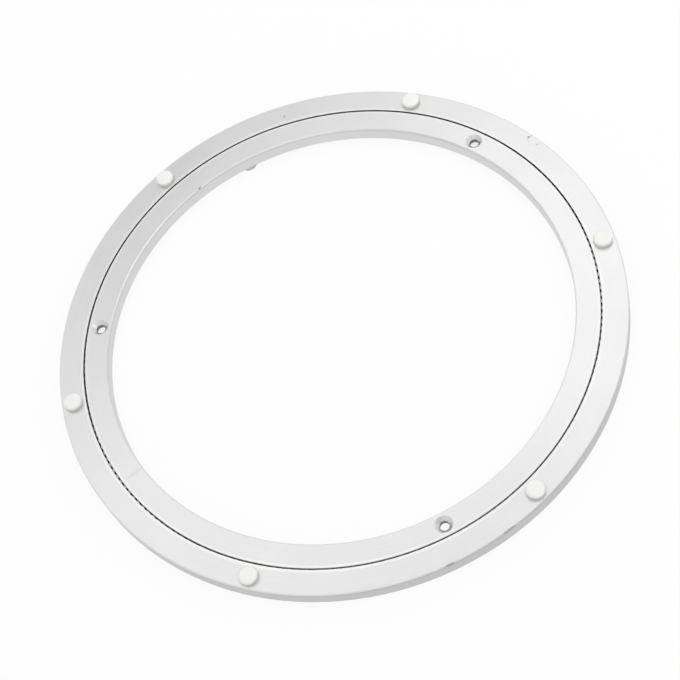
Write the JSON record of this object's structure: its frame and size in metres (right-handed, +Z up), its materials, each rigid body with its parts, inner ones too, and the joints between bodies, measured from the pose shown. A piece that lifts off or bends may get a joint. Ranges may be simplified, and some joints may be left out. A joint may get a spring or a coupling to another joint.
{
  "type": "lazy susan bearing",
  "caption": "Flat round turntable bearing: an aluminium outer ring with soft pads on top turns on steel balls round an inner ring with countersunk screw holes.",
  "frame": {"origin": "on the bearing's axis, in the plane that its three feet stand on", "axes": "+Z up along the axis of turning; a screw hole of the inner ring lies on -Y"},
  "size_m": [0.3, 0.3, 0.0155],
  "materials": {
    "satin_aluminium": "satin anodised, turned faces",
    "bare_aluminium": "bare, cut end",
    "bright_steel": "polished bearing balls",
    "white_pvc": "soft moulded, matt"
  },
  "bodies": {
    "base": {"inner_ring": "satin_aluminium", "foot_pad_1": "white_pvc", "foot_pad_2": "white_pvc", "foot_pad_3": "white_pvc"},
    "turning_ring": {"outer_ring": "satin_aluminium", "filling_plug": "bare_aluminium", "top_pad_1": "white_pvc", "top_pad_2": "white_pvc", "top_pad_3": "white_pvc", "top_pad_4": "white_pvc", "top_pad_5": "white_pvc", "top_pad_6": "white_pvc"},
    "ball_row": {"bearing_balls": "bright_steel"}
  },
  "joints": [
    {"name": "outer_turn", "type": "hinge", "parent": "base", "child": "turning_ring", "pos_m": [0, 0, 0.00775], "axis": [0, 0, 1], "continuous": true},
    {"name": "ball_orbit", "type": "hinge", "parent": "base", "child": "ball_row", "pos_m": [0, 0, 0.00775], "axis": [0, 0, 1], "continuous": true}
  ],
  "couplings": [
    {"joint": "ball_orbit", "follows": "outer_turn", "ratio": 0.50514}
  ]
}
